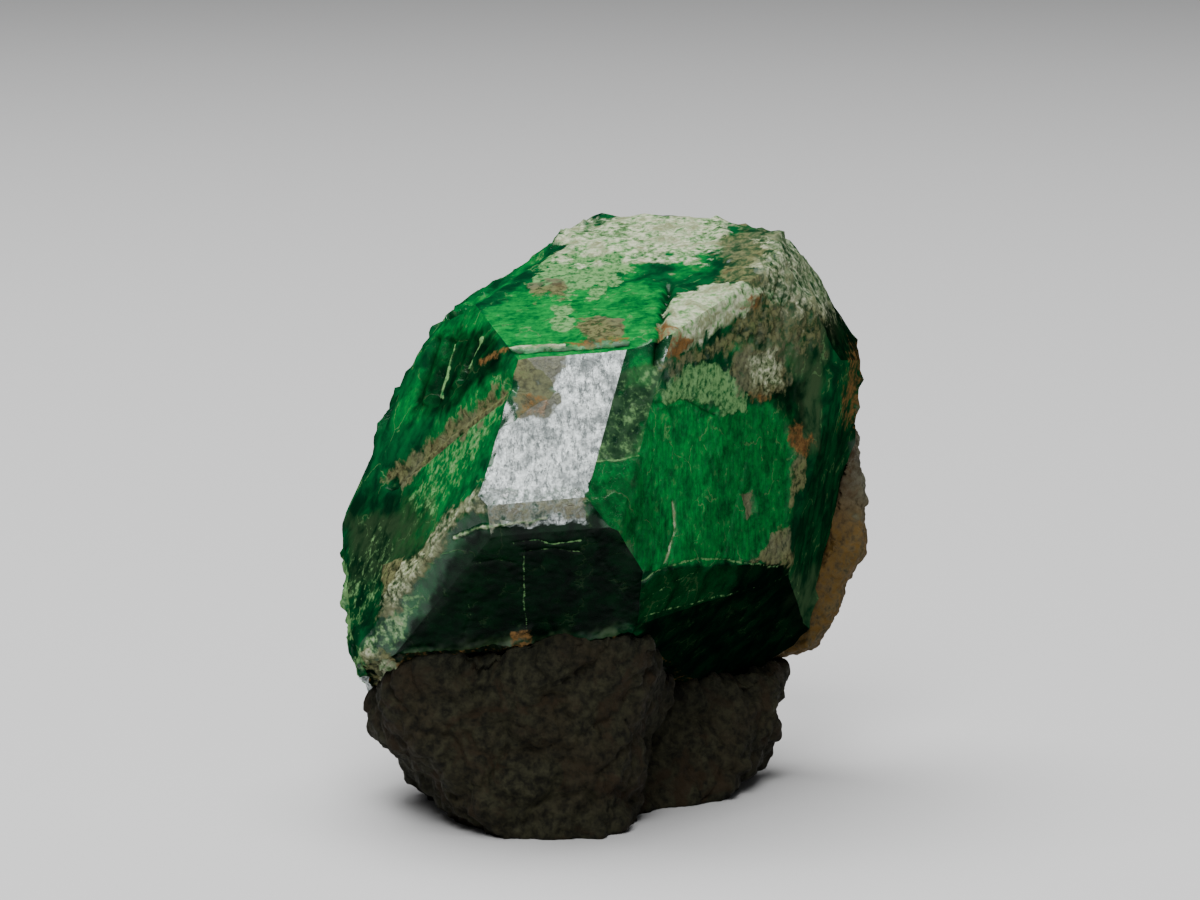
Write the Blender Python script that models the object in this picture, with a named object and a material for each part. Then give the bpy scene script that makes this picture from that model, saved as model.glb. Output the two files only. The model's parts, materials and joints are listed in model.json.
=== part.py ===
"""A single uvarovite garnet crystal that stands on what is left of its brown matrix, with an iron-stained
pale seam along its right flank.

Units are metres, +Z is up, and the specimen is displayed towards -Y. The origin is under the middle of
the specimen, on the surface that it rests on.

The crystal is built the way a crystal drawing is made. Each face has Miller indices, which give its
direction once the cubic axes are turned as they lie in this specimen, and a distance from the crystal's
centre, because a real crystal is never evenly grown. Dodecahedron faces {110} and a trapezohedron face
{211} make up the middle of the display side. The worn faces that round off the rest have high indices.
"""

import math

import bmesh
import bpy
from mathutils import Euler, Matrix, Vector, noise

MM = 0.001

# Where the crystal stands, how its cubic axes are turned there, and how far the display side leans back
CRYSTAL_CENTRE = Vector((-0.11, -1.05, 8.70)) * MM
AXES_TURN_DEG = (-169, -45, -42)
DISPLAY_TILT_DEG = 8

# The pieces are grown together on the specimen, and stand this far apart here
SEAT_GAP = 0.30 * MM
SEAT_TRIM = 0.03 * MM

# Faces of the crystal: name, Miller indices, distance from the centre in millimetres
FACES = (
    ("silver", (1, 1, 0), 5.60),
    ("strip", (2, 1, 1), 4.94),
    ("bright", (1, 0, 1), 3.49),
    ("dark", (0, 1, 1), 4.91),
    ("left", (0, 1, -1), 4.86),
    ("top", (6, 1, -5), 4.87),
    ("right", (5, -3, 8), 4.72),
    ("corner", (1, 1, 9), 4.19),
    ("corner_bevel", (3, 1, 9), 4.00),
    ("right_shoulder", (8, -4, 3), 6.22),
    ("underside", (-1, 1, 2), 4.59),
    ("rough_sill", (1, 2, 1), 5.83),
    ("worn_ridge", (0, 1, 0), 6.46),
    ("left_upper_flank", (-14, 29, -60), 5.74),
    ("left_shoulder", (1, 20, -60), 5.76),
    ("top_left_slope", (9, 4, -30), 5.61),
    ("crown_left", (38, -1, -60), 5.97),
    ("crown", (60, -25, -57), 6.90),
    ("crown_right", (60, -35, -22), 7.50),
    ("left_flank", (-59, 60, -55), 6.90),
    ("left_foot", (-15, 14, -7), 7.50),
    ("right_flank", (33, -56, 60), 7.00),
    ("back", (-1, -1, 0), 6.50),
    ("back_left", (-1, 0, -1), 6.80),
    ("back_upper", (0, -1, -1), 7.30),
    ("back_lower", (-2, -1, 1), 6.90),
    ("back_foot", (-1, -2, 1), 8.00),
    ("back_upper_left", (-1, -1, -2), 7.60),
    ("back_upper_right", (1, -2, -1), 8.40),
)
BLANK_SIZE = 40 * MM
CUT_MARGIN = 0.0001 * MM

# Long cuts: the face that they are in, both ends in millimetres as seen from the display side, width, depth
GROOVES = (
    ("left", (-5.50, 0.00), (-2.45, 2.35), 0.80, 0.46),
    ("left", (-4.80, 2.10), (-4.30, 3.60), 0.36, 0.20),
    ("left", (-4.20, 1.95), (-3.66, 3.70), 0.38, 0.24),
    ("left", (-3.55, 2.70), (-2.95, 3.75), 0.34, 0.22),
    ("top", (-2.05, 3.22), (1.20, 3.40), 0.26, 0.16),
    ("bright", (1.35, 2.75), (1.65, 4.90), 0.44, 0.26),
    ("bright", (2.20, 3.75), (4.70, 3.15), 0.60, 0.22),
    ("bright", (3.40, -1.95), (4.50, -1.35), 0.70, 0.30),
    ("bright", (3.58, -0.75), (3.66, -0.42), 0.36, 0.22),
    ("dark", (-2.20, -3.55), (-1.35, -3.75), 0.50, 0.16),
    ("dark", (-2.30, -1.40), (-1.10, -1.30), 0.26, 0.12),
    ("back", (-0.50, -1.50), (3.60, 0.90), 0.90, 0.34),
    ("back_left", (-5.20, 2.40), (-3.60, -1.60), 0.70, 0.30),
    ("back_upper_right", (2.20, 5.20), (4.60, 4.40), 0.60, 0.26),
)
CUTTER_LIFT = 0.3
CUTTER_SUBDIVISIONS = 2

# Lumps of crust: the face that they sit on, place in millimetres as seen from the display side, width, rise
CRUST_LUMPS = (
    ("top", (0.60, 6.25), 3.2, 0.24),
    ("top", (2.60, 6.05), 3.4, 0.28),
    ("top", (2.30, 4.95), 2.6, 0.32),
    ("top", (-2.10, 5.10), 2.4, 0.16),
    ("top", (-1.80, 3.75), 1.6, 0.12),
    ("right_shoulder", (4.70, 5.10), 2.6, 0.26),
    ("right_shoulder", (5.50, 4.05), 3.0, 0.28),
    ("right_shoulder", (6.00, 3.10), 2.6, 0.30),
    ("bright", (3.60, 3.00), 2.8, 0.18),
    ("bright", (4.40, 2.10), 1.6, 0.14),
    ("left", (-4.60, 3.10), 1.6, 0.14),
    ("worn_ridge", (-3.20, -0.60), 1.1, 0.16),
    ("worn_ridge", (-3.85, -1.55), 0.9, 0.14),
    ("worn_ridge", (-4.45, -2.40), 1.2, 0.18),
    ("worn_ridge", (-5.25, -3.55), 1.1, 0.16),
    ("rough_sill", (-2.70, -0.95), 0.9, 0.12),
    ("back_upper", (-0.50, 3.60), 3.2, 0.22),
    ("back_left", (-4.60, 0.40), 2.8, 0.18),
)
LUMP_RAGGEDNESS = 0.42
LUMP_DETAIL = 1.5
LUMP_SINK = 0.04 * MM
LUMP_SUBDIVISIONS = 2

# The brown matrix that the crystal stands on. A flat has a direction that it faces, and a point in it, both
# given as right, up and towards the viewer. Points are in millimetres from the crystal's centre.
BASE_MIDDLE = (-1.9, -6.0, -1.2)
BASE_FLATS = (
    ("front", (0.05, -0.20, 0.98), (-2.0, -5.0, 3.1)),
    ("front_left", (-0.60, -0.25, 0.76), (-6.0, -5.2, 1.8)),
    ("right", (0.96, -0.22, 0.16), (1.3, -4.0, 2.4)),
    ("left", (-0.95, -0.30, 0.10), (-6.25, -5.9, -1.0)),
    ("left_lower", (-0.70, -0.71, 0.10), (-4.8, -7.6, 0.0)),
    ("back", (0.0, -0.25, -0.97), (-1.0, -7.0, -5.8)),
    ("back_left", (-0.65, -0.30, -0.70), (-5.0, -6.5, -4.0)),
    ("above", (0.0, 1.0, 0.0), (0.0, 0.0, 0.0)),
    ("below", (0.0, -1.0, 0.0), (0.0, -10.6, 0.0)),
)
RIGHT_LOBE_MIDDLE = (2.4, -6.4, -4.4)
RIGHT_LOBE_FLATS = (
    ("front", (0.40, 0.20, 0.89), (2.3, -5.6, -2.6)),
    ("right", (0.97, -0.20, 0.15), (4.50, -5.9, -4.0)),
    ("right_lower", (0.72, -0.69, 0.10), (3.9, -7.5, -3.6)),
    ("back", (0.2, -0.25, -0.95), (2.0, -7.0, -6.8)),
    ("left", (-1.0, 0.0, 0.0), (-1.5, -7.0, -4.0)),
    ("above", (0.15, 0.95, -0.2), (4.6, -4.3, -5.0)),
    ("below", (0.0, -1.0, 0.0), (0.0, -10.6, 0.0)),
)
BASE_SHARPNESS = 12
BASE_ROUGHNESS = 0.34 * MM
BASE_LUMP_SIZE = 2.0 * MM
BASE_SUBDIVISIONS = 5
BASE_SEED = 3
LOBE_SUBDIVISIONS = 4
LOBE_SEED = 5

# The stained seam on the right flank, in the same terms
SEAM_MIDDLE = (6.2, -1.4, -6.9)
SEAM_FLATS = (
    ("outer", (0.99, 0.08, 0.0), (6.95, -0.2, -6.3)),
    ("outer_lower", (0.92, -0.37, 0.0), (6.62, -2.5, -6.4)),
    ("top", (0.45, 0.90, 0.0), (6.8, 1.5, -6.4)),
    ("bottom", (0.50, -0.86, 0.0), (6.1, -4.5, -6.4)),
    ("front", (0.25, 0.0, 0.97), (6.8, -1.4, -5.9)),
    ("back", (0.2, 0.0, -0.98), (6.0, -1.4, -7.7)),
    ("inner", (-1.0, 0.0, 0.0), (4.0, -1.4, -6.2)),
)
SEAM_FOOT = (5.2, -4.55, -6.0)
SEAM_FOOT_FACING = (0.25, -0.97, 0.0)
SEAM_SHARPNESS = 7
SEAM_ROUGHNESS = 0.22 * MM
SEAM_LUMP_SIZE = 1.0 * MM
SEAM_SUBDIVISIONS = 4
SEAM_SEED = 8

# The finer of the two sizes of roughness on the matrix and the seam: how much finer, and how much lower
FINE_DETAIL = 2.6
FINE_SHARE = 0.45

CRYSTAL_TURN = Euler([math.radians(a) for a in AXES_TURN_DEG], "XYZ").to_matrix()
DISPLAY_TILT = math.radians(DISPLAY_TILT_DEG)
VIEW_RIGHT = Vector((1, 0, 0))
VIEW_UP = Vector((0, math.sin(DISPLAY_TILT), math.cos(DISPLAY_TILT)))
VIEW_TOWARDS = Vector((0, -math.cos(DISPLAY_TILT), math.sin(DISPLAY_TILT)))
FACE_BY_NAME = {name: (indices, distance * MM) for name, indices, distance in FACES}


def clear_scene():
    for obj in list(bpy.data.objects):
        bpy.data.objects.remove(obj)


def new_collection(name):
    collection = bpy.data.collections.new(name)
    bpy.context.scene.collection.children.link(collection)
    return collection


def material(name, colour, roughness):
    made = bpy.data.materials.new(name)
    made.use_nodes = True
    shader = made.node_tree.nodes["Principled BSDF"]
    shader.inputs["Base Color"].default_value = (*colour, 1)
    shader.inputs["Roughness"].default_value = roughness
    shader.inputs["Metallic"].default_value = 0
    return made


def face_normal(name):
    """The outward direction of a crystal face, with the crystal as it lies in the specimen."""
    return (CRYSTAL_TURN @ Vector(FACE_BY_NAME[name][0])).normalized()


def seen_on_face(name, place):
    """The point of a face that is seen at a place, in millimetres right and up of the crystal's centre."""
    normal, distance = face_normal(name), FACE_BY_NAME[name][1]
    flat = (VIEW_RIGHT * place[0] + VIEW_UP * place[1]) * MM
    towards = (distance - normal.dot(flat)) / normal.dot(VIEW_TOWARDS)
    return CRYSTAL_CENTRE + flat + VIEW_TOWARDS * towards


def link(bm, name, collection):
    mesh = bpy.data.meshes.new(name)
    bm.to_mesh(mesh)
    bm.free()
    obj = bpy.data.objects.new(name, mesh)
    collection.objects.link(obj)
    return obj


def cut_flat(bm, point, normal):
    """Takes off all that lies past a plane, and closes the cut."""
    whole = bm.verts[:] + bm.edges[:] + bm.faces[:]
    cut = bmesh.ops.bisect_plane(
        bm, geom=whole, dist=CUT_MARGIN, plane_co=point, plane_no=normal, clear_outer=True
    )
    edges = [e for e in cut["geom_cut"] if isinstance(e, bmesh.types.BMEdge)]
    if edges:
        bmesh.ops.edgeloop_fill(bm, edges=edges)


def faceted_solid(name, collection, grown=0.0):
    """The crystal's plain polyhedron: a blank cut by every face, each moved out by grown."""
    bm = bmesh.new()
    bmesh.ops.create_cube(
        bm, size=BLANK_SIZE, matrix=Matrix.Translation(CRYSTAL_CENTRE)
    )
    for face, _, distance in FACES:
        normal = face_normal(face)
        cut_flat(bm, CRYSTAL_CENTRE + normal * (distance * MM + grown), normal)
    bmesh.ops.recalc_face_normals(bm, faces=bm.faces)
    return link(bm, name, collection)


def face_frame(along, normal):
    """A turn whose X runs along a line in a face and whose Z is the face's normal."""
    across = normal.cross(along).normalized()
    return Matrix((along.normalized(), across, normal)).transposed().to_4x4()


def chisel(name, collection, face, start, end, width, depth):
    """A long, faceted cutter sunk in a face, which leaves a groove that runs out at both ends."""
    first, last = seen_on_face(face, start), seen_on_face(face, end)
    lift = CUTTER_LIFT * depth * MM
    size = Vector(((last - first).length / 2, width / 2 * MM, depth * MM + lift))
    place = Matrix.Translation((first + last) / 2 + face_normal(face) * lift)
    turn = face_frame(last - first, face_normal(face))
    bm = bmesh.new()
    shape = place @ turn @ Matrix.Diagonal((*size, 1))
    bmesh.ops.create_icosphere(
        bm, subdivisions=CUTTER_SUBDIVISIONS, radius=1, matrix=shape
    )
    return link(bm, name, collection)


def crust_lump(number, collection, face, place, width, rise):
    """A low lump with a ragged outline that stands proud of a face."""
    normal = face_normal(face)
    size = Vector((width / 2 * MM, width / 2 * MM, rise * MM))
    turn = face_frame(normal.orthogonal(), normal)
    at = Matrix.Translation(seen_on_face(face, place) - normal * LUMP_SINK)
    bm = bmesh.new()
    bmesh.ops.create_icosphere(bm, subdivisions=LUMP_SUBDIVISIONS, radius=1)
    for vert in bm.verts:
        bump = noise.noise(vert.co * LUMP_DETAIL + Vector((number, 0, 0)) * 7.3)
        vert.co *= 1 + LUMP_RAGGEDNESS * bump
    bmesh.ops.transform(
        bm, matrix=at @ turn @ Matrix.Diagonal((*size, 1)), verts=bm.verts
    )
    return link(bm, f"crust lump {number}", collection)


def boolean(obj, name, operation, others):
    """Joins or cuts with every object of a collection at once, and keeps those out of renders."""
    modifier = obj.modifiers.new(name, "BOOLEAN")
    modifier.operation = operation
    modifier.solver = "EXACT"
    modifier.operand_type = "COLLECTION"
    modifier.collection = others
    for other in others.objects:
        other.hide_render = True
        other.display_type = "WIRE"


def garnet_crystal(parts):
    crystal = faceted_solid("garnet_crystal", parts)
    lumps = new_collection("crust lumps")
    for number, lump in enumerate(CRUST_LUMPS):
        crust_lump(number, lumps, *lump)
    boolean(crystal, "crust", "UNION", lumps)
    grooves = new_collection("grooves")
    for number, groove in enumerate(GROOVES):
        chisel(f"groove {number}", grooves, *groove)
    boolean(crystal, "grooves", "DIFFERENCE", grooves)
    crystal.data.materials.append(
        material("garnet green", (0.010, 0.115, 0.032), 0.22)
    )


def from_view(place):
    """A direction or a distance in millimetres, given as right, up and towards the viewer."""
    return VIEW_RIGHT * place[0] + VIEW_UP * place[1] + VIEW_TOWARDS * place[2]


def roughen(bm, amount, lump_size, seed):
    """Moves each vertex along its normal by two sizes of noise."""
    bm.normal_update()
    shift = Vector((1.0, 1.7, 2.3)) * seed
    moves = []
    for vert in bm.verts:
        place = (vert.co - CRYSTAL_CENTRE) / lump_size
        coarse = noise.noise(place + shift)
        fine = noise.noise(place * FINE_DETAIL + shift)
        moves.append(vert.normal * amount * (coarse + FINE_SHARE * fine))
    for vert, move in zip(bm.verts, moves):
        vert.co += move


def rough_mass(middle, flats, sharpness, subdivisions):
    """A sphere drawn out to flats that meet in rounded edges, the rounder the lower the sharpness."""
    centre = Vector(middle)
    reaches = []
    for _, direction, point in flats:
        facing = Vector(direction).normalized()
        reaches.append((from_view(facing), facing.dot(Vector(point) - centre) * MM))
    bm = bmesh.new()
    bmesh.ops.create_icosphere(bm, subdivisions=subdivisions, radius=1)
    for vert in bm.verts:
        out = vert.co.normalized()
        terms = [(max(0, facing.dot(out)) / reach) ** sharpness for facing, reach in reaches]
        vert.co = CRYSTAL_CENTRE + from_view(centre) * MM + out * sum(terms) ** (-1 / sharpness)
    return bm


def seam_foot():
    """A point in the plane that parts the seam from the matrix under it, and the plane's downward side."""
    point = CRYSTAL_CENTRE + from_view(SEAM_FOOT) * MM
    return point, from_view(SEAM_FOOT_FACING).normalized()


def matrix_base(parts, seat):
    """A lobe that fills the crystal's underside, and one behind it that laps up the crystal's back."""
    floor = (Vector((0, 0, 0)), Vector((0, 0, -1)))
    bm = rough_mass(BASE_MIDDLE, BASE_FLATS, BASE_SHARPNESS, BASE_SUBDIVISIONS)
    roughen(bm, BASE_ROUGHNESS, BASE_LUMP_SIZE, BASE_SEED)
    underside = face_normal("underside")
    height = FACE_BY_NAME["underside"][1] + SEAT_GAP
    cut_flat(bm, CRYSTAL_CENTRE + underside * height, -underside)
    cut_flat(bm, *floor)
    bmesh.ops.recalc_face_normals(bm, faces=bm.faces)
    base = link(bm, "matrix_base", parts)

    bm = rough_mass(RIGHT_LOBE_MIDDLE, RIGHT_LOBE_FLATS, BASE_SHARPNESS, LOBE_SUBDIVISIONS)
    roughen(bm, BASE_ROUGHNESS, BASE_LUMP_SIZE, LOBE_SEED)
    cut_flat(bm, *floor)
    point, down = seam_foot()
    cut_flat(bm, point + down * SEAT_GAP, -down)
    bmesh.ops.recalc_face_normals(bm, faces=bm.faces)
    lobes = new_collection("right lobe")
    lobe = link(bm, "lobe", lobes)
    boolean(lobe, "room for the crystal", "DIFFERENCE", seat)
    boolean(base, "right lobe", "UNION", lobes)
    base.data.materials.append(material("brown matrix", (0.045, 0.032, 0.022), 0.85))


def stained_seam(parts, seat):
    bm = rough_mass(SEAM_MIDDLE, SEAM_FLATS, SEAM_SHARPNESS, SEAM_SUBDIVISIONS)
    roughen(bm, SEAM_ROUGHNESS, SEAM_LUMP_SIZE, SEAM_SEED)
    cut_flat(bm, *seam_foot())
    bmesh.ops.recalc_face_normals(bm, faces=bm.faces)
    seam = link(bm, "stained_seam", parts)
    boolean(seam, "room for the crystal", "DIFFERENCE", seat)
    seam.data.materials.append(material("stained calcite", (0.42, 0.27, 0.12), 0.75))


def main():
    clear_scene()
    parts = new_collection("uvarovite garnet")
    seat = new_collection("crystal seat")
    faceted_solid("grown crystal", seat, grown=SEAT_GAP + SEAT_TRIM)
    garnet_crystal(parts)
    matrix_base(parts, seat)
    stained_seam(parts, seat)


main()
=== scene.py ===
"""Builds the looks of a uvarovite garnet crystal specimen over its solid frame.

The crystal is cut again from the planes of its own solid, refined, carved and painted. The matrix and the
stained seam are refined copies of their solids. Places on the display side are pixels of the 1200 x 900
photo, and the camera sees the specimen in the same frame.
"""

import json
import math

import bmesh
import bpy
import numpy as np
from bpy.props import FloatProperty, FloatVectorProperty, PointerProperty
from mathutils import Matrix, Vector, noise

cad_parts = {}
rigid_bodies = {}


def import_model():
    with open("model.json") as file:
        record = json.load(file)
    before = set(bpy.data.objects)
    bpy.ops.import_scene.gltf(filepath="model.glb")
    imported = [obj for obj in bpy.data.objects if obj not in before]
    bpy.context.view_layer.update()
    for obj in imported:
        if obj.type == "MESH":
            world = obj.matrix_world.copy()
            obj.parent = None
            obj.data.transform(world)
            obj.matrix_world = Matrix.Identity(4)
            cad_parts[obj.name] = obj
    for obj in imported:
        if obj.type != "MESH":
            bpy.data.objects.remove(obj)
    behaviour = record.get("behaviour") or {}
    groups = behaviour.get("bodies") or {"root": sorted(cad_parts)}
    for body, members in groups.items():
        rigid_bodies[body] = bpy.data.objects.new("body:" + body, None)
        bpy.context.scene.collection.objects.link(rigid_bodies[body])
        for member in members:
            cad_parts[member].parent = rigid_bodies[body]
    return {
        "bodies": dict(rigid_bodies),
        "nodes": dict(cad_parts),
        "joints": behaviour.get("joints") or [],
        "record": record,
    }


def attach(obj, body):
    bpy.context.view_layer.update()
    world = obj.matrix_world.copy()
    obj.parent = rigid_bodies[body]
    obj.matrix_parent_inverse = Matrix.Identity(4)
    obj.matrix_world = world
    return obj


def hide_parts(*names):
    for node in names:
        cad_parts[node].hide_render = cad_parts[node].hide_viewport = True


bl_info = {
    "name": "Uvarovite Specimen",
    "version": (1, 0, 0),
    "blender": (4, 5, 0),
    "location": "3D View > Sidebar > Specimen",
    "description": "Builds a uvarovite garnet crystal with its matrix and stained seam",
    "category": "Object",
}

MM = 0.001

# The display side, and how a pixel of the photo lies on it
DISPLAY_TILT = math.radians(8)
VIEW_RIGHT = Vector((1, 0, 0))
VIEW_UP = Vector((0, math.sin(DISPLAY_TILT), math.cos(DISPLAY_TILT)))
VIEW_TOWARDS = Vector((0, -math.cos(DISPLAY_TILT), math.sin(DISPLAY_TILT)))
CRYSTAL_CENTRE = Vector((-0.11, -1.05, 8.70)) * MM
PHOTO_MIDDLE = (605, 480)
PHOTO_PIXEL = 0.0257 * MM
PHOTO_WIDTH = 1200
PHOTO_AIM = (600, 450)

# The same as rows of numbers, for whole meshes at once
CENTRE = np.array(CRYSTAL_CENTRE)
RIGHT, UP, TOWARDS = np.array(VIEW_RIGHT), np.array(VIEW_UP), np.array(VIEW_TOWARDS)

# Which way each crystal face looks, as right, up and towards the viewer: used to know it in the frame
FACE_LOOKS = {
    "silver": (-0.02, 0.27, 0.96),
    "strip": (0.46, 0.12, 0.88),
    "bright": (0.83, -0.07, 0.56),
    "dark": (0.06, -0.69, 0.72),
    "left": (-0.85, 0.34, 0.40),
    "top": (-0.08, 0.92, 0.39),
    "right": (0.95, -0.20, 0.23),
    "corner": (0.63, -0.68, 0.37),
    "corner_bevel": (0.71, -0.52, 0.47),
    "right_shoulder": (0.89, 0.41, 0.22),
    "underside": (0.08, -0.96, 0.27),
    "rough_sill": (0.02, -0.24, 0.97),
    "worn_ridge": (-0.56, -0.25, 0.79),
    "left_upper_flank": (-0.91, 0.41, 0.02),
    "left_shoulder": (-0.78, 0.63, 0.05),
    "top_left_slope": (-0.53, 0.85, 0.05),
    "crown_left": (-0.25, 0.96, 0.10),
    "crown": (0.10, 0.99, 0.02),
    "crown_right": (0.51, 0.86, 0.02),
    "left_flank": (-0.99, -0.12, 0.02),
    "left_foot": (-0.93, -0.36, 0.05),
    "right_flank": (0.98, -0.10, -0.14),
}
UPPER_LEFT = ("left", "left_upper_flank", "left_shoulder")
UPPER = ("top", "crown_left", "crown", "crown_right", "top_left_slope", "right_shoulder")
CROWN = UPPER + ("bright", "right_flank", "left_shoulder")

# What counts as a flat of the crystal, and as the same flat
FLAT_AREA = 0.9 * MM * MM
SAME_FLAT = 0.9995
SAME_HEIGHT = 0.03 * MM
MERGE_DISTANCE = 0.0005 * MM
BLANK_SIZE = 40 * MM
CUT_TOLERANCE = 1e-7

# How meshes are refined: rounds, the angle of a level edge, and shares of the fine length near the markings
REFINE_TURNS = 9
LEVEL_ANGLE = 0.002
THIN_LINE = 4.5
OUTLINE_REACH = 3.5
OUTLINE_SHARE = 0.7
LINE_REACH = 1.5
LINE_SHARE = 0.42
FINE_BEHIND_CENTRE = 1.0 * MM
LEAST_SHARE = 0.001
MATRIX_SHARE = 1.2
SEAM_SHARE = 0.7
SMOOTHINGS = 3

# Masks painted on the crystal, four to an attribute
# Of these masks, the dark one is painted shade: faces turned from the light, the underside, grooves and
# hollows.
# Of these masks, the silver one is partly a frosted coat and partly painted glints and highlight.
CHANNELS = ("crust", "cream", "rust", "silver", "vivid", "dark", "moss", "pale")

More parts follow.
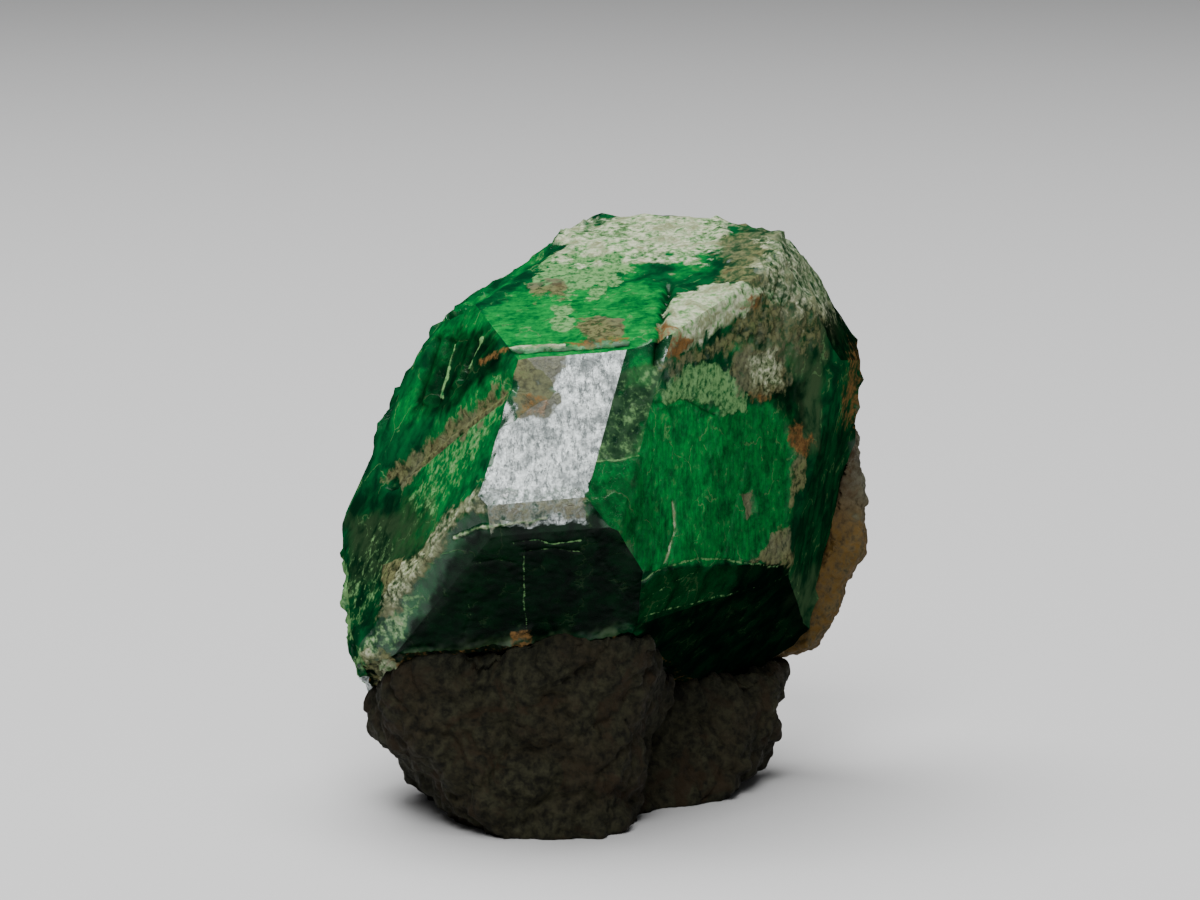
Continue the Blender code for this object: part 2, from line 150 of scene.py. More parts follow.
# Patches: mask, strength, faces, outline in photo pixels, soft edge and raggedness in pixels, relief in mm
PATCHES = (
    # The silvery face and the sill under it: partly a frosted coat, partly a painted highlight for the front
    # softbox's glare.
    ("silver", 1.0, ("silver",), ((518, 350), (630, 350), (632, 380), (600, 455), (588, 486), (490, 486),
     (505, 430), (560, 395)), 3, 5, 0.0),
    ("silver", 0.52, ("silver", "rough_sill"), ((484, 470), (590, 470), (590, 520), (470, 530)),
     8, 12, 0.05),
    ("rust", 0.34, ("silver",), ((520, 398), (546, 396), (552, 406), (546, 418), (522, 424)), 4, 7, 0.02),
    ("crust", 0.95, ("silver",), ((518, 352), (566, 352), (562, 372), (556, 392), (566, 402), (548, 418),
     (522, 424), (514, 400)), 4, 9, 0.05),
    ("crust", 0.60, ("rough_sill", "dark"), ((474, 496), (520, 486), (590, 484), (588, 512), (560, 512),
     (520, 520), (470, 530)), 5, 10, 0.10),
    ("crust", 0.72, ("worn_ridge", "left", "rough_sill"), ((486, 482), (498, 498), (464, 526), (434, 566),
     (400, 612), (378, 616), (408, 570), (446, 520)), 6, 7, 0.10),
    ("cream", 0.46, ("worn_ridge", "left", "rough_sill"), ((484, 484), (494, 498), (458, 528), (430, 564),
     (404, 600), (384, 606), (412, 568), (446, 524)), 6, 8, 0.02),
    ("pale", 0.55, ("worn_ridge", "left_foot", "underside"), ((404, 596), (424, 590), (404, 640), (380, 662),
     (356, 668), (366, 636)), 6, 9, 0.02),
    ("cream", 0.38, ("worn_ridge", "left_foot"), ((392, 612), (412, 606), (396, 640), (370, 660),
     (366, 646)), 6, 9, 0.02),
    ("crust", 0.8, ("left",), ((384, 562), (414, 556), (418, 580), (390, 596)), 3, 6, 0.08),
    ("crust", 0.7, ("left",), ((396, 588), (430, 584), (432, 600), (398, 606)), 3, 6, 0.06),
    ("crust", 0.9, UPPER_LEFT, ((380, 480), (420, 448), (470, 410), (504, 386), (512, 398), (480, 426),
     (440, 452), (404, 486)), 5, 8, 0.03),
    ("vivid", 0.75, ("left",), ((450, 400), (520, 362), (526, 390), (500, 440), (470, 480), (430, 540),
     (400, 560), (420, 470)), 12, 14, 0.0),
    ("pale", 0.44, ("left",), ((452, 412), (520, 364), (524, 390), (498, 440), (462, 486), (426, 520),
     (408, 520), (424, 470)), 14, 14, 0.0),
    ("pale", 0.36, ("left", "left_foot", "left_flank"), ((344, 560), (380, 520), (410, 540), (390, 590),
     (362, 640), (346, 640)), 12, 14, 0.0),
    ("vivid", 0.8, ("left_upper_flank", "left_shoulder", "top_left_slope", "left"), ((392, 430), (430, 340),
     (480, 300), (560, 250), (560, 300), (500, 330), (440, 370), (420, 420)), 10, 14, 0.0),
    # Painted shade in the hollow at the upper left.
    ("dark", 0.8, UPPER_LEFT, ((414, 410), (430, 356), (462, 330), (500, 336), (506, 372), (470, 398),
     (430, 418)), 8, 10, 0.0),
    ("dark", 0.55, ("left", "left_flank", "left_foot"), ((340, 500), (400, 480), (440, 500), (430, 560),
     (380, 620), (330, 640)), 14, 14, 0.0),
    ("moss", 0.7, ("left", "left_flank"), ((345, 520), (440, 500), (420, 560), (350, 590)), 12, 14, 0.0),
    ("vivid", 1.0, ("top", "crown_left", "top_left_slope"), ((476, 372), (470, 330), (520, 290), (600, 285),
     (660, 288), (662, 330), (650, 372), (560, 360)), 6, 12, 0.0),
    ("crust", 0.8, UPPER, ((528, 284), (562, 282), (566, 298), (532, 302)), 3, 7, 0.05),
    ("crust", 0.85, UPPER, ((572, 328), (600, 318), (626, 322), (618, 344), (584, 348)), 3, 7, 0.06),
    ("pale", 0.7, UPPER, ((552, 306), (574, 302), (574, 332), (552, 330)), 4, 7, 0.02),
    ("pale", 0.9, UPPER, ((530, 292), (548, 252), (604, 240), (640, 256), (606, 292), (560, 296)),
     8, 14, 0.03),
    ("cream", 0.72, CROWN, ((556, 262), (566, 226), (640, 205), (724, 205), (736, 240), (700, 262),
     (640, 266), (600, 262)), 8, 16, 0.14),
    ("vivid", 0.75, CROWN, ((664, 256), (684, 246), (712, 254), (704, 272), (676, 276)), 5, 9, 0.0),
    ("vivid", 0.65, UPPER, ((610, 262), (630, 250), (650, 262), (636, 280), (614, 280)), 5, 9, 0.0),
    ("vivid", 0.6, CROWN, ((758, 290), (790, 300), (800, 340), (780, 372), (762, 340)), 8, 14, 0.0),
    ("cream", 0.85, CROWN, ((668, 304), (700, 290), (752, 292), (745, 310), (715, 330), (690, 345),
     (662, 360), (655, 345)), 5, 9, 0.14),
    ("rust", 0.62, CROWN, ((654, 330), (664, 322), (672, 340), (690, 342), (668, 362), (654, 360)),
     5, 8, 0.03),
    ("rust", 0.55, CROWN, ((730, 306), (738, 296), (758, 298), (756, 312), (740, 314)), 4, 8, 0.02),
    ("crust", 0.62, ("top", "bright", "strip"), ((656, 372), (680, 352), (716, 340), (742, 334), (750, 352),
     (706, 360), (680, 370), (668, 384)), 4, 8, 0.08),
    ("moss", 0.9, CROWN, ((728, 300), (730, 240), (780, 232), (836, 262), (840, 330), (800, 380),
     (744, 350)), 10, 16, 0.12),
    ("crust", 0.50, CROWN, ((716, 300), (722, 232), (770, 230), (786, 262), (770, 296)), 10, 18, 0.06),
    ("cream", 0.42, CROWN, ((752, 300), (766, 240), (800, 236), (838, 268), (838, 320), (790, 320)),
     12, 18, 0.06),
    ("crust", 0.60, CROWN, ((724, 330), (740, 300), (790, 290), (816, 300), (822, 352), (770, 350)),
     8, 16, 0.14),
    ("pale", 0.66, ("bright", "strip", "top"), ((662, 404), (658, 384), (676, 368), (700, 362), (730, 372),
     (748, 396), (744, 412), (722, 418), (706, 402)), 4, 7, 0.04),
    ("moss", 0.6, ("bright", "strip", "top"), ((666, 404), (664, 386), (690, 372), (720, 380), (744, 404),
     (722, 416), (706, 402)), 6, 8, 0.0),
    ("crust", 0.80, ("bright", "top"), ((736, 392), (726, 366), (744, 348), (772, 350), (788, 372),
     (784, 392), (760, 400)), 5, 9, 0.08),
    ("cream", 0.50, ("bright", "top"), ((744, 376), (740, 360), (762, 350), (780, 364), (780, 386),
     (762, 392)), 6, 8, 0.03),
    ("rust", 0.42, ("bright", "top"), ((736, 384), (744, 390), (768, 392), (770, 402), (744, 404)),
     4, 7, 0.0),
    ("vivid", 0.8, ("bright", "top"), ((722, 350), (730, 338), (748, 338), (748, 350), (732, 356)),
     4, 7, 0.0),
    ("dark", 0.6, ("bright", "top"), ((700, 352), (720, 336), (752, 322), (780, 330), (752, 340),
     (720, 352)), 6, 10, 0.0),
    ("dark", 0.7, ("bright", "right", "right_shoulder"), ((764, 400), (778, 376), (802, 382), (806, 424),
     (790, 432)), 5, 9, 0.03),
    ("moss", 0.8, ("bright", "right", "right_shoulder"), ((796, 450), (796, 376), (812, 350), (826, 380),
     (818, 452)), 5, 9, 0.03),
    ("rust", 0.80, ("bright", "right"), ((786, 420), (800, 420), (814, 440), (808, 462), (796, 456)),
     4, 8, 0.04),
    ("crust", 0.72, ("bright", "right"), ((796, 450), (808, 462), (800, 500), (790, 520), (788, 500)),
     3, 7, 0.04),
    ("vivid", 1.0, ("bright", "strip"), ((646, 412), (658, 398), (700, 398), (724, 416), (748, 408),
     (768, 404), (790, 416), (799, 442), (798, 474), (792, 530), (770, 540), (748, 562), (700, 560),
     (676, 562), (626, 586), (584, 530), (582, 500), (592, 460), (637, 456)), 4, 7, 0.0),
    # Painted shade: the lower part of the bright face made darker.
    ("dark", 0.60, ("bright", "strip"), ((580, 480), (640, 470), (664, 530), (640, 590), (580, 560)),
     22, 18, 0.0),
    ("dark", 0.38, ("bright",), ((716, 412), (800, 410), (800, 540), (752, 566), (660, 566), (700, 520),
     (716, 470)), 20, 18, 0.0),
    ("pale", 0.38, ("strip",), ((618, 376), (660, 364), (642, 456), (594, 460)), 3, 4, 0.0),
    ("vivid", 0.9, ("strip",), ((630, 356), (656, 356), (650, 380), (626, 392)), 4, 8, 0.0),
    ("moss", 0.45, ("strip",), ((616, 376), (662, 362), (642, 458), (590, 461)), 2, 3, 0.0),
    ("dark", 0.18, ("strip",), ((616, 376), (662, 362), (642, 458), (590, 461)), 3, 3, 0.0),
    ("crust", 0.85, ("bright", "corner_bevel", "right"), ((750, 562), (770, 534), (794, 528), (794, 568)),
     3, 6, 0.05),
    ("crust", 0.9, ("bright",), ((740, 494), (752, 492), (754, 514), (744, 518)), 2, 4, 0.04),
    # Painted shade on the faces turned down from the light: the corner, its bevel, the downward face and the
    # sill below it.
    ("dark", 1.0, ("corner_bevel",), ((722, 600), (736, 558), (796, 558), (800, 600)), 8, 8, 0.0),
    ("dark", 0.78, ("corner_bevel", "corner", "bright"), ((610, 600), (640, 578), (684, 562), (740, 562),
     (730, 606), (630, 630)), 5, 8, 0.0),
    ("vivid", 0.35, ("corner_bevel", "corner"), ((630, 588), (680, 560), (736, 562), (720, 600), (640, 614)),
     6, 8, 0.0),
    ("dark", 1.0, ("corner",), ((636, 600), (820, 560), (840, 700), (640, 720)), 6, 8, 0.0),
    ("dark", 1.0, ("dark",), ((384, 640), (470, 500), (620, 490), (700, 620), (620, 624), (540, 632),
     (470, 640), (396, 650)), 5, 8, 0.0),
    ("dark", 0.9, ("rough_sill", "worn_ridge"), ((412, 632), (470, 534), (500, 522), (560, 512), (600, 510),
     (612, 560), (640, 640), (400, 640)), 4, 7, 0.0),
    ("vivid", 0.3, ("dark",), ((420, 600), (440, 540), (500, 520), (520, 560), (470, 610)), 14, 16, 0.0),
    ("moss", 0.9, ("dark", "underside"), ((396, 652), (470, 634), (540, 628), (620, 618), (630, 640),
     (560, 652), (430, 668)), 5, 8, 0.03),
    ("rust", 0.5, ("dark", "underside"), ((512, 626), (534, 624), (536, 640), (514, 642)), 3, 6, 0.04),
    ("crust", 0.75, ("left", "left_foot", "underside", "worn_ridge"), ((366, 650), (384, 640), (404, 654),
     (404, 680), (380, 690)), 4, 7, 0.08),
    ("cream", 0.85, ("left", "left_foot", "underside", "worn_ridge"), ((382, 656), (398, 656), (400, 680),
     (386, 682)), 4, 6, 0.06),
    # A painted glint on the lower left corner.
    ("silver", 0.95, ("left", "left_foot", "left_flank"), ((364, 674), (380, 672), (382, 690), (368, 694)),
     3, 4, 0.02),
    ("pale", 0.9, ("left_foot", "left_flank"), ((334, 560), (350, 560), (356, 640), (372, 690), (352, 690),
     (336, 620)), 4, 6, 0.02),
    # Painted shade on the right side, which is turned away from the light.
    ("dark", 0.45, ("right", "right_flank"), ((786, 520), (806, 430), (866, 420), (866, 560), (832, 572),
     (790, 576)), 5, 7, 0.0),
    ("moss", 0.7, ("right", "right_flank", "corner"), ((778, 600), (794, 578), (834, 568), (840, 620),
     (820, 664)), 8, 8, 0.0),
    ("dark", 0.9, ("right_shoulder", "right_flank"), ((812, 300), (850, 300), (900, 380), (880, 440),
     (820, 420)), 10, 12, 0.0),
    ("rust", 0.55, ("right_flank", "right_shoulder", "right"), ((850, 340), (890, 340), (900, 420),
     (850, 430)), 12, 16, 0.04),
)

# Lines: faces, ends in photo pixels, width in pixels, relief in mm, mask and its strength
LINES = (
    # Every line with the dark mask is carved as a groove, and its darkening is painted shade in that groove.
    (UPPER_LEFT, ((392, 480), (448, 432), (510, 388)), 13, -0.30, "crust", 0.0),
    (UPPER_LEFT, ((388, 488), (446, 446), (500, 404)), 4, -0.16, "dark", 0.9),
    (UPPER_LEFT, ((416, 402), (436, 340)), 7, -0.20, "dark", 1.0),
    (UPPER_LEFT, ((436, 404), (453, 344)), 6, -0.20, "dark", 1.0),
    (UPPER_LEFT, ((462, 380), (479, 346)), 6, -0.20, "dark", 1.0),
    (UPPER_LEFT, ((427, 404), (447, 338)), 4, 0.12, "vivid", 1.0),
    (UPPER_LEFT, ((444, 398), (458, 346)), 3, 0.10, "pale", 1.0),
    (UPPER_LEFT, ((470, 370), (485, 340)), 3.5, 0.10, "pale", 1.0),
    (UPPER_LEFT, ((456, 388), (472, 350)), 3, 0.08, "vivid", 0.9),
    (UPPER_LEFT, ((484, 362), (500, 340)), 3, 0.08, "vivid", 0.9),
    (("top", "silver"), ((500, 358), (526, 354), (580, 351), (628, 347)), 4, -0.10, "dark", 0.9),
    (("top",), ((510, 352), (540, 349), (566, 349)), 3, 0.05, "cream", 0.9),
    (("top",), ((566, 347), (600, 345), (626, 343)), 5, 0.03, "rust", 0.62),
    (UPPER_LEFT, ((484, 364), (500, 356), (512, 352)), 7, 0.02, "rust", 0.66),
    (("silver",), ((526, 362), (576, 358), (624, 358)), 1.6, 0.02, "vivid", 0.9),
    (("top", "strip", "bright"), ((668, 290), (660, 325), (656, 366)), 7, -0.26, "dark", 0.9),
    # A painted highlight: a pale line for light caught on the edge of a chip, with only a slight rise.
    (("bright", "strip"), ((592, 461), (616, 459), (638, 457)), 2.2, 0.02, "pale", 0.8),
    (("bright",), ((655, 404), (684, 400), (712, 414)), 3, -0.05, "dark", 0.6),
    (("bright",), ((658, 409), (686, 405), (712, 419)), 3, 0.03, "pale", 0.45),
    (("bright",), ((671, 500), (673, 530), (663, 560)), 2.0, -0.03, "cream", 0.85),
    (("bright",), ((690, 404), (700, 436), (712, 468)), 1.2, -0.015, "pale", 0.5),
    (("bright",), ((704, 402), (712, 440), (722, 470)), 1.2, -0.015, "pale", 0.4),
    (("bright",), ((745, 460), (733, 510), (722, 560)), 1.4, -0.02, "pale", 0.45),
    (("bright",), ((747, 496), (750, 512)), 8, -0.16, "crust", 0.0),
    (("bright", "corner_bevel"), ((628, 584), (652, 570), (680, 560), (705, 556), (740, 562), (780, 568)),
     2.6, -0.05, "pale", 0.7),
    (("corner_bevel", "corner"), ((642, 612), (700, 601), (760, 588), (796, 574)), 2, 0.02, "pale", 0.55),
    (("corner_bevel",), ((640, 600), (668, 580), (700, 570)), 2, -0.03, "pale", 0.5),
    (("corner_bevel",), ((650, 606), (690, 590), (730, 586)), 1.8, -0.03, "pale", 0.4),
    (("dark",), ((516, 540), (540, 537), (552, 541), (582, 538)), 1.4, -0.02, "pale", 0.85),
    (("dark",), ((524, 549), (556, 545), (580, 549)), 1.2, -0.02, "pale", 0.7),
    (("dark",), ((478, 560), (500, 556), (518, 560)), 1.2, -0.02, "pale", 0.55),
    (("dark",), ((470, 590), (474, 612), (466, 634)), 1.2, -0.02, "pale", 0.5),
    (("dark",), ((527, 540), (526, 580), (528, 626)), 2.4, 0.02, "pale", 0.62),
    (("dark", "worn_ridge", "rough_sill"), ((462, 534), (486, 524), (520, 518), (548, 514)),
     4, 0.08, "cream", 0.8),
    (("dark",), ((585, 516), (604, 560), (628, 596)), 1.6, -0.01, "pale", 0.3),
    (("right",), ((838, 562), (852, 559)), 4, -0.08, "pale", 0.9),
    (("bright", "right"), ((802, 430), (798, 500), (790, 570)), 2.2, -0.02, "dark", 0.6),
    (("left",), ((398, 480), (382, 540), (372, 590)), 3, -0.05, "dark", 0.5),
    (("left",), ((430, 452), (420, 500), (408, 540)), 2, -0.03, "pale", 0.25),
    (("left",), ((470, 430), (452, 480), (436, 512)), 2, -0.03, "dark", 0.35),
)

# The crystal's relief. Sizes of noise are in millimetres, heights in metres
EDGE_BLEND = 0.05 * MM
RAGGED_SIZE = 0.5
CRUST_GRAIN = 0.55
CRUMB_WARP = 0.12 * MM
LARGE_CRUMB = 0.62
SMALL_CRUMB = 0.30
LARGE_CRUMB_SHARE = 0.65
CRUMB_HEIGHT = 0.025 * MM
WILD_SIZE = 1.9
WILD_LEVEL = 0.18
WILD_HEIGHT = 0.16 * MM
MOTTLE_SIZE = 2.6
BEHIND = 0.12
UNDERSIDE_HEIGHT = 0.10 * MM
UNDERSIDE_RUST = 0.22
WAVE_SIZE = 2.4
WAVE_HEIGHT = 0.020 * MM
SKIN_HEIGHT = 0.008 * MM
CHIP_SIZE = 0.8
CHIP_WIDTH = 0.09 * MM
CHIP_HEIGHT = 0.05 * MM
CRYSTAL_SHARP = 42
ROCK_SHARP = 60

# Relief of the matrix and the seam: size and height in millimetres, and whether it is crumbs
MATRIX_RELIEF = ((2.2, 0.25, False), (1.5, 0.24, True), (0.55, 0.12, True))
MATRIX_RELIEF += ((0.7, 0.16, False), (0.22, 0.05, False))
SEAM_RELIEF = ((0.9, 0.12, False), (0.6, 0.08, True), (0.3, 0.06, True), (0.15, 0.03, False))
SEAT_NEAR = 0.25 * MM
SEAT_FADE = 0.35 * MM
MATRIX_RIM = 0.5 * MM
SEAM_RIM = 0.45 * MM
FLOOR_TOUCH = 0.02 * MM
STAIN_LINE = 510
STAIN_SOFT = 30

# The stage, in metres
FLOOR_RADIUS = 1.6
FLOOR_SIDES = 64
FLOOR_TONE = (0.50, 0.50, 0.50)
KEY_DIRECTION = (-0.06, -0.76, 0.65)
KEY_SIZE = 0.12
TOP_DIRECTION = (-0.15, 0.10, 1.0)
TOP_SIZE = 0.30
LIGHT_DISTANCE = 0.30
WORLD_TONE = (0.75, 0.77, 0.80, 1)
WORLD_STRENGTH = 0.12
CAMERA_LENS = 180
CAMERA_NEAR = 0.01


def settings():
    return bpy.context.scene.uvarovite


def from_view(place):
    """A direction given as right, up and towards the viewer, in the specimen's own frame."""
    return VIEW_RIGHT * place[0] + VIEW_UP * place[1] + VIEW_TOWARDS * place[2]


def merged_copy(node):
    """A mesh under construction with the shape of a frame node, its loose triangles joined."""
    bm = bmesh.new()
    bm.from_mesh(node.data)
    bmesh.ops.remove_doubles(bm, verts=bm.verts, dist=MERGE_DISTANCE)
    return bm


def flats_of(node):
    """The outward direction and the distance from the crystal's centre of each large flat of a node."""
    bm = merged_copy(node)
    flats = []
    for face in sorted(bm.faces, key=lambda f: -f.calc_area()):
        height = face.normal.dot(face.calc_center_median() - CRYSTAL_CENTRE)
        for flat in flats:
            if flat[0].dot(face.normal) > SAME_FLAT and abs(flat[1] - height) < SAME_HEIGHT:
                flat[2] += face.calc_area()
                break
        else:
            flats.append([face.normal.copy(), height, face.calc_area()])
    bm.free()
    return [(normal, height) for normal, height, area in flats if area > FLAT_AREA]


def named_flats(flats):
    """Which of the flats each named face is."""
    found = {}
    for name, look in FACE_LOOKS.items():
        aim = from_view(look).normalized()
        found[name] = max(range(len(flats)), key=lambda i: flats[i][0].dot(aim))
    return found


def depths(points, flats):
    """How far each point lies outside each of the flats."""
    normals = np.array([normal[:] for normal, _ in flats])
    heights = np.array([height for _, height in flats])
    return (points - CENTRE) @ normals.T - heights


def mesh_points(bm):
    return np.array([v.co[:] for v in bm.verts])


def mesh_corners(bm):
    return np.array([[v.index for v in f.verts] for f in bm.faces])


def move_points(bm, places):
    for vert, place in zip(bm.verts, places):
        vert.co = place


def drop_doubled_faces(bm):
    """Takes out faces that share all their corners, which evening out can leave back to back."""
    by_corners = {}
    for face in bm.faces:
        by_corners.setdefault(frozenset(face.verts), []).append(face)
    doubled = [face for faces in by_corners.values() if len(faces) > 1 for face in faces]
    bmesh.ops.delete(bm, geom=doubled, context="FACES")


def refine(bm, allowed, shortest):
    """Splits edges that are longer than allowed where they lie, and evens out the flat parts."""
    for _ in range(REFINE_TURNS):
        bm.verts.index_update()
        points = mesh_points(bm)
        ends = np.array([(e.verts[0].index, e.verts[1].index) for e in bm.edges])
        lengths = np.linalg.norm(points[ends[:, 0]] - points[ends[:, 1]], axis=1)
        too_long = lengths > shortest
        too_long[too_long] = lengths[too_long] > allowed(points[ends[too_long]].mean(axis=1))
        if not too_long.any():
            return
        long_edges = [e for e, split in zip(bm.edges, too_long) if split]
        bmesh.ops.subdivide_edges(bm, edges=long_edges, cuts=1)
        many = [f for f in bm.faces if len(f.verts) > 3]
        bmesh.ops.triangulate(bm, faces=many)
        level = [e for e in bm.edges if e.is_manifold and e.calc_face_angle(0) < LEVEL_ANGLE]
        bmesh.ops.beautify_fill(bm, faces=bm.faces, edges=level)
        drop_doubled_faces(bm)


def crystal_edge_length(look):
    """How long a mesh edge may be at each place: shortest along the painted lines, longest behind."""
    thin_lines = [(np.array(line[1], float), line[2]) for line in LINES if line[2] < THIN_LINE]
    outlines = [np.array(list(patch[3]) + [patch[3][0]], float) for patch in PATCHES]

    def allowed(middles):
        towards = (middles - CENTRE) @ TOWARDS
        lengths = np.where(towards > -FINE_BEHIND_CENTRE, look.mesh_fine, look.mesh_coarse)
        ahead = np.flatnonzero(towards > 0)
        places = photo_place(middles[ahead])
        to_outline = np.min([line_distance(places, corners) for corners in outlines], axis=0)
        to_line = np.min([line_distance(places, corners) - width for corners, width in thin_lines], axis=0)
        near = np.where(to_outline < OUTLINE_REACH, OUTLINE_SHARE, 1.0)
        lengths[ahead] *= np.where(to_line < LINE_REACH, LINE_SHARE, near)
        return lengths

    return allowed


def noise_field(points, size, seed, octaves=1):
    """Smooth noise from -1 to 1 at each point, with lumps of about a size in millimetres."""
    shift = Vector((seed * 3.1, seed * 1.7, seed * 5.3))
    scale = 1 / (size * MM)
    values = np.empty(len(points))
    for index, point in enumerate(points):
        place = Vector(point) * scale + shift
        total = noise.noise(place)
        share = 0.5
        for _ in range(1, octaves):
            place = place * 2.1
            total += share * noise.noise(place)
            share /= 2
        values[index] = total
    return values


def crumb_field(points, size, seed):
    """Rounded grains of about a size in millimetres: 1 in the middle of each, 0 in the cracks between."""
    shift = Vector((seed * 2.3, seed * 4.1, seed * 1.3))
    scale = 1 / (size * MM)
    values = np.empty(len(points))
    for index, point in enumerate(points):
        near = noise.voronoi(Vector(point) * scale + shift)[0]
        values[index] = min(1, 2.2 * (near[1] - near[0]))
    return np.sqrt(values)


def photo_place(points):
    """Where each point is seen in the photo, in pixels."""
    flat = points - CENTRE
    across = PHOTO_MIDDLE[0] + flat @ RIGHT / PHOTO_PIXEL
    down = PHOTO_MIDDLE[1] - flat @ UP / PHOTO_PIXEL
    return np.stack([across, down], axis=1)


def segment_distance(places, start, end):
    start, end = np.array(start, float), np.array(end, float)
    along = end - start
    share = np.clip((places - start) @ along / (along @ along), 0, 1)
    away = places - start - share[:, None] * along
    return np.hypot(away[:, 0], away[:, 1])


def line_distance(places, corners):
    return np.min([segment_distance(places, a, b) for a, b in zip(corners, corners[1:])], axis=0)


def outline_distance(places, corners):
    """Distance in pixels from an outline, below zero inside it."""
    closed = list(corners) + [corners[0]]
    inside = np.zeros(len(places), bool)
    for (x0, y0), (x1, y1) in zip(closed, closed[1:]):
        if y0 == y1:
            continue
        spans = (places[:, 1] < y0) != (places[:, 1] < y1)
        crossing = x0 + (places[:, 1] - y0) * (x1 - x0) / (y1 - y0)
        inside ^= spans & (places[:, 0] < crossing)
    away = line_distance(places, closed)
    return np.where(inside, -away, away)


def falloff(distance, soft):
    """1 well inside, 0 well outside, smooth over the soft width."""
    share = np.clip(0.5 - distance / (2 * soft), 0, 1)
    return share * share * (3 - 2 * share)


def finish_mesh(bm, name, material, sharp_degrees):
    """The finished piece, at the origin, with its material and its sharp edges."""
    mesh = bpy.data.meshes.new(name)
    bm.to_mesh(mesh)
    bm.free()
    obj = bpy.data.objects.new(name, mesh)
    bpy.context.scene.collection.objects.link(obj)
    mesh.materials.append(material)
    mesh.shade_smooth()
    mesh.set_sharp_from_angle(angle=math.radians(sharp_degrees))
    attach(obj, "root")
    return obj


def paint(mesh, name, values):
    """Stores four masks per corner as one attribute."""
    layer = mesh.attributes.new(name, "FLOAT_COLOR", "CORNER")
    layer.data.foreach_set("color", np.ascontiguousarray(values, np.float32).ravel())


def cut_crystal(flats):
    """The crystal's plain polyhedron, cut from a block by its own planes."""
    bm = bmesh.new()
    bmesh.ops.create_cube(bm, size=BLANK_SIZE, matrix=Matrix.Translation(CRYSTAL_CENTRE))
    for normal, height in flats:
        whole = bm.verts[:] + bm.edges[:] + bm.faces[:]
        place = CRYSTAL_CENTRE + normal * height
        cut = bmesh.ops.bisect_plane(
            bm, geom=whole, dist=CUT_TOLERANCE, plane_co=place, plane_no=normal, clear_outer=True
        )
        edges = [e for e in cut["geom_cut"] if isinstance(e, bmesh.types.BMEdge)]
        if edges:
            bmesh.ops.edgeloop_fill(bm, edges=edges)
    bmesh.ops.recalc_face_normals(bm, faces=bm.faces)
    bmesh.ops.triangulate(bm, faces=bm.faces)
    return bm


class CrystalForm:
    """Points of the refined crystal with what each needs to be carved and painted."""

    def __init__(self, bm, flats):
        self.points = mesh_points(bm)
        self.corners = mesh_corners(bm)
        self.names = named_flats(flats)
        depth = depths(self.points, flats)
        weights = np.exp(depth / EDGE_BLEND)
        self.weights = weights / weights.sum(axis=1, keepdims=True)
        middles = self.points[self.corners].mean(axis=1)
        self.face_of = np.argmax(depths(middles, flats), axis=1)
        self.edge_distance = -np.sort(depth, axis=1)[:, -2]
        self.outward = self.weights @ np.array([normal[:] for normal, _ in flats])
        self.outward /= np.linalg.norm(self.outward, axis=1, keepdims=True)
        self.places = photo_place(self.points)
        self.ragged = np.stack([noise_field(self.points, RAGGED_SIZE, seed, 3) for seed in (11, 12)], axis=1)

    def on_faces(self, faces):
        """How much each point belongs to the faces, and which corners do."""
        ids = [self.names[name] for name in faces]
        return self.weights[:, ids].sum(axis=1), np.isin(self.face_of, ids)


